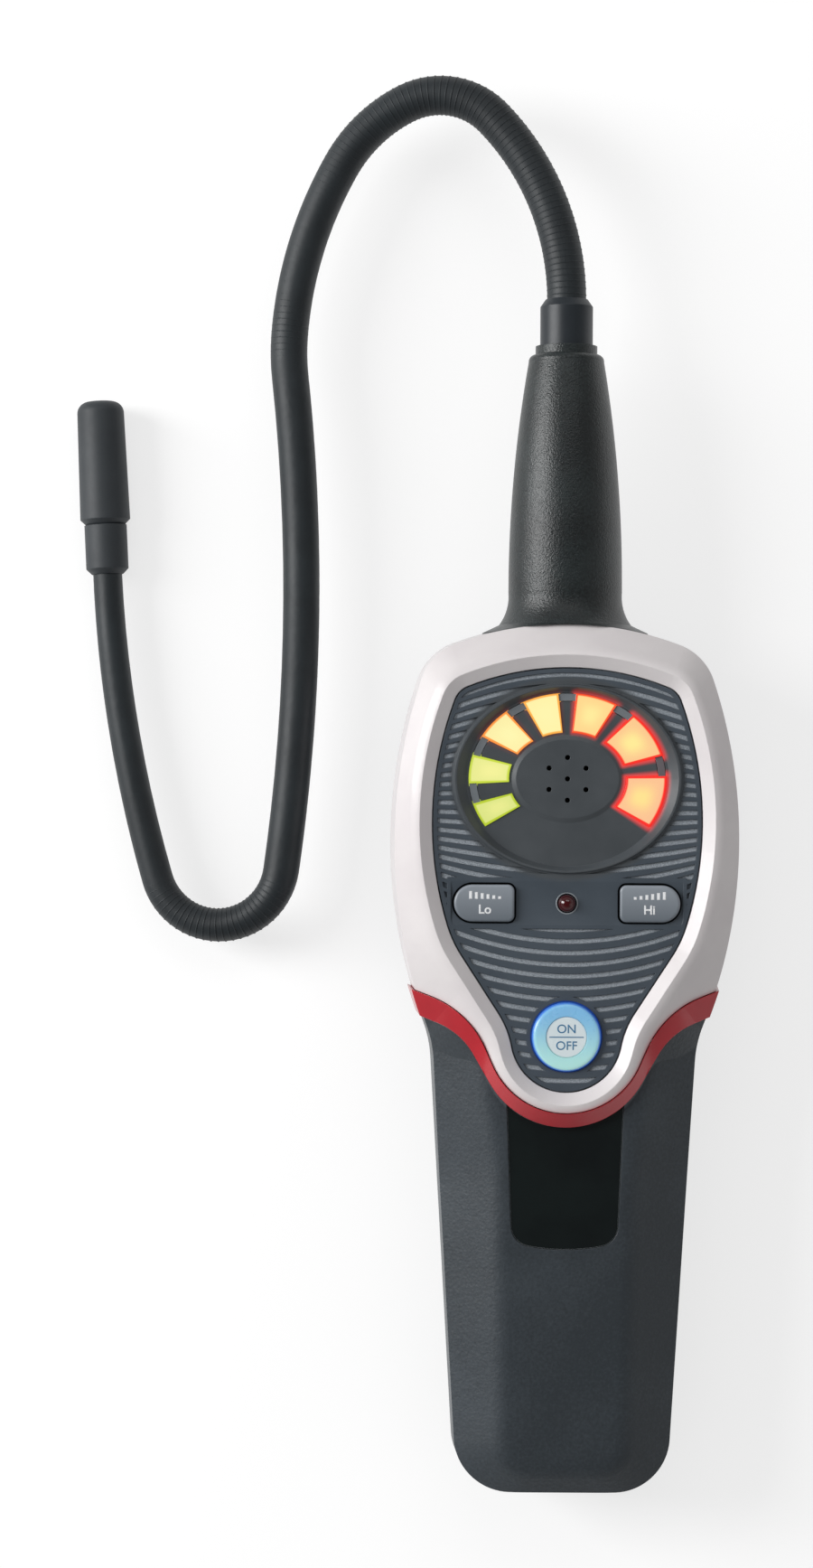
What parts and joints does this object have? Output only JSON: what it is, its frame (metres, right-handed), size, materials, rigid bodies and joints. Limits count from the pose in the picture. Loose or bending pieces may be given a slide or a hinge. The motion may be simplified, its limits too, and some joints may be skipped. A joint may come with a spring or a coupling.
{
  "type": "electronic leak detector",
  "caption": "Hand-held electronic leak detector with a round display dial, two sensitivity keys, a power button and a bendable probe.",
  "frame": {"origin": "on the flat back face, directly under the centre of the display dial", "axes": "+X to the right of the display, +Y from the dial towards the probe, +Z out of the display"},
  "size_m": [0.1474, 0.3114, 0.0409],
  "materials": {
    "bezel": "satin",
    "handle": "fine texture",
    "back_shell": "fine texture",
    "trim": "gloss",
    "label": "gloss",
    "panel": "satin",
    "diffuser": "satin",
    "key": "satin",
    "power_ring": "gloss",
    "power_disc": "satin",
    "lamp_red": "gloss",
    "board": "satin",
    "led": "gloss",
    "electronics": "matte",
    "cell_wrap": "gloss",
    "nickel": "satin",
    "steel": "satin",
    "boot": "grained",
    "ferrule": "satin",
    "sleeve": "matte",
    "core": "satin",
    "sensor_head": "satin"
  },
  "bodies": {
    "casing": {"rear_case": "back_shell", "front_case": "handle", "bezel": "bezel", "trim_band": "trim", "label_plate": "label", "control_panel": "panel", "indicator_lens": "diffuser", "light_baffle": "electronics", "status_led": "lamp_red", "circuit_board": "board", "low_switch": "electronics", "high_switch": "electronics", "power_switch": "electronics", "buzzer": "electronics", "battery_cell_1": "cell_wrap", "battery_cell_2": "cell_wrap", "battery_cell_3": "cell_wrap", "battery_cell_4": "cell_wrap", "battery_contact_positive": "nickel", "battery_contact_negative": "nickel", "battery_link_plate": "nickel", "case_screws": "steel", "neck_boot": "boot", "ferrule": "ferrule", "gooseneck_sleeve": "sleeve", "gooseneck_core": "core", "neck_nut": "steel", "sensor_socket": "sensor_head", "sensor_cap": "sensor_head", "sensor_element": "steel", "indicator_led_1": "led", "indicator_led_2": "led", "indicator_led_3": "led", "indicator_led_4": "led", "indicator_led_5": "led", "indicator_led_6": "led", "indicator_led_7": "led"},
    "power_button_body": {"power_button": "power_ring", "power_button_disc": "power_disc"},
    "low_button_body": {"sensitivity_low_button": "key"},
    "high_button_body": {"sensitivity_high_button": "key"},
    "door_body": {"battery_door": "back_shell"}
  },
  "joints": [
    {"name": "power_press", "type": "slide", "parent": "casing", "child": "power_button_body", "axis": [0, 0, -1], "range_m": [0, 0.0008], "stiffness_N_per_m": 1500},
    {"name": "low_press", "type": "slide", "parent": "casing", "child": "low_button_body", "axis": [0, 0, -1], "range_m": [0, 0.0006], "stiffness_N_per_m": 1500},
    {"name": "high_press", "type": "slide", "parent": "casing", "child": "high_button_body", "axis": [0, 0, -1], "range_m": [0, 0.0006], "stiffness_N_per_m": 1500},
    {"name": "battery_door_slide", "type": "slide", "parent": "casing", "child": "door_body", "axis": [0, -1, 0], "range_m": [0, 0.11]}
  ]
}
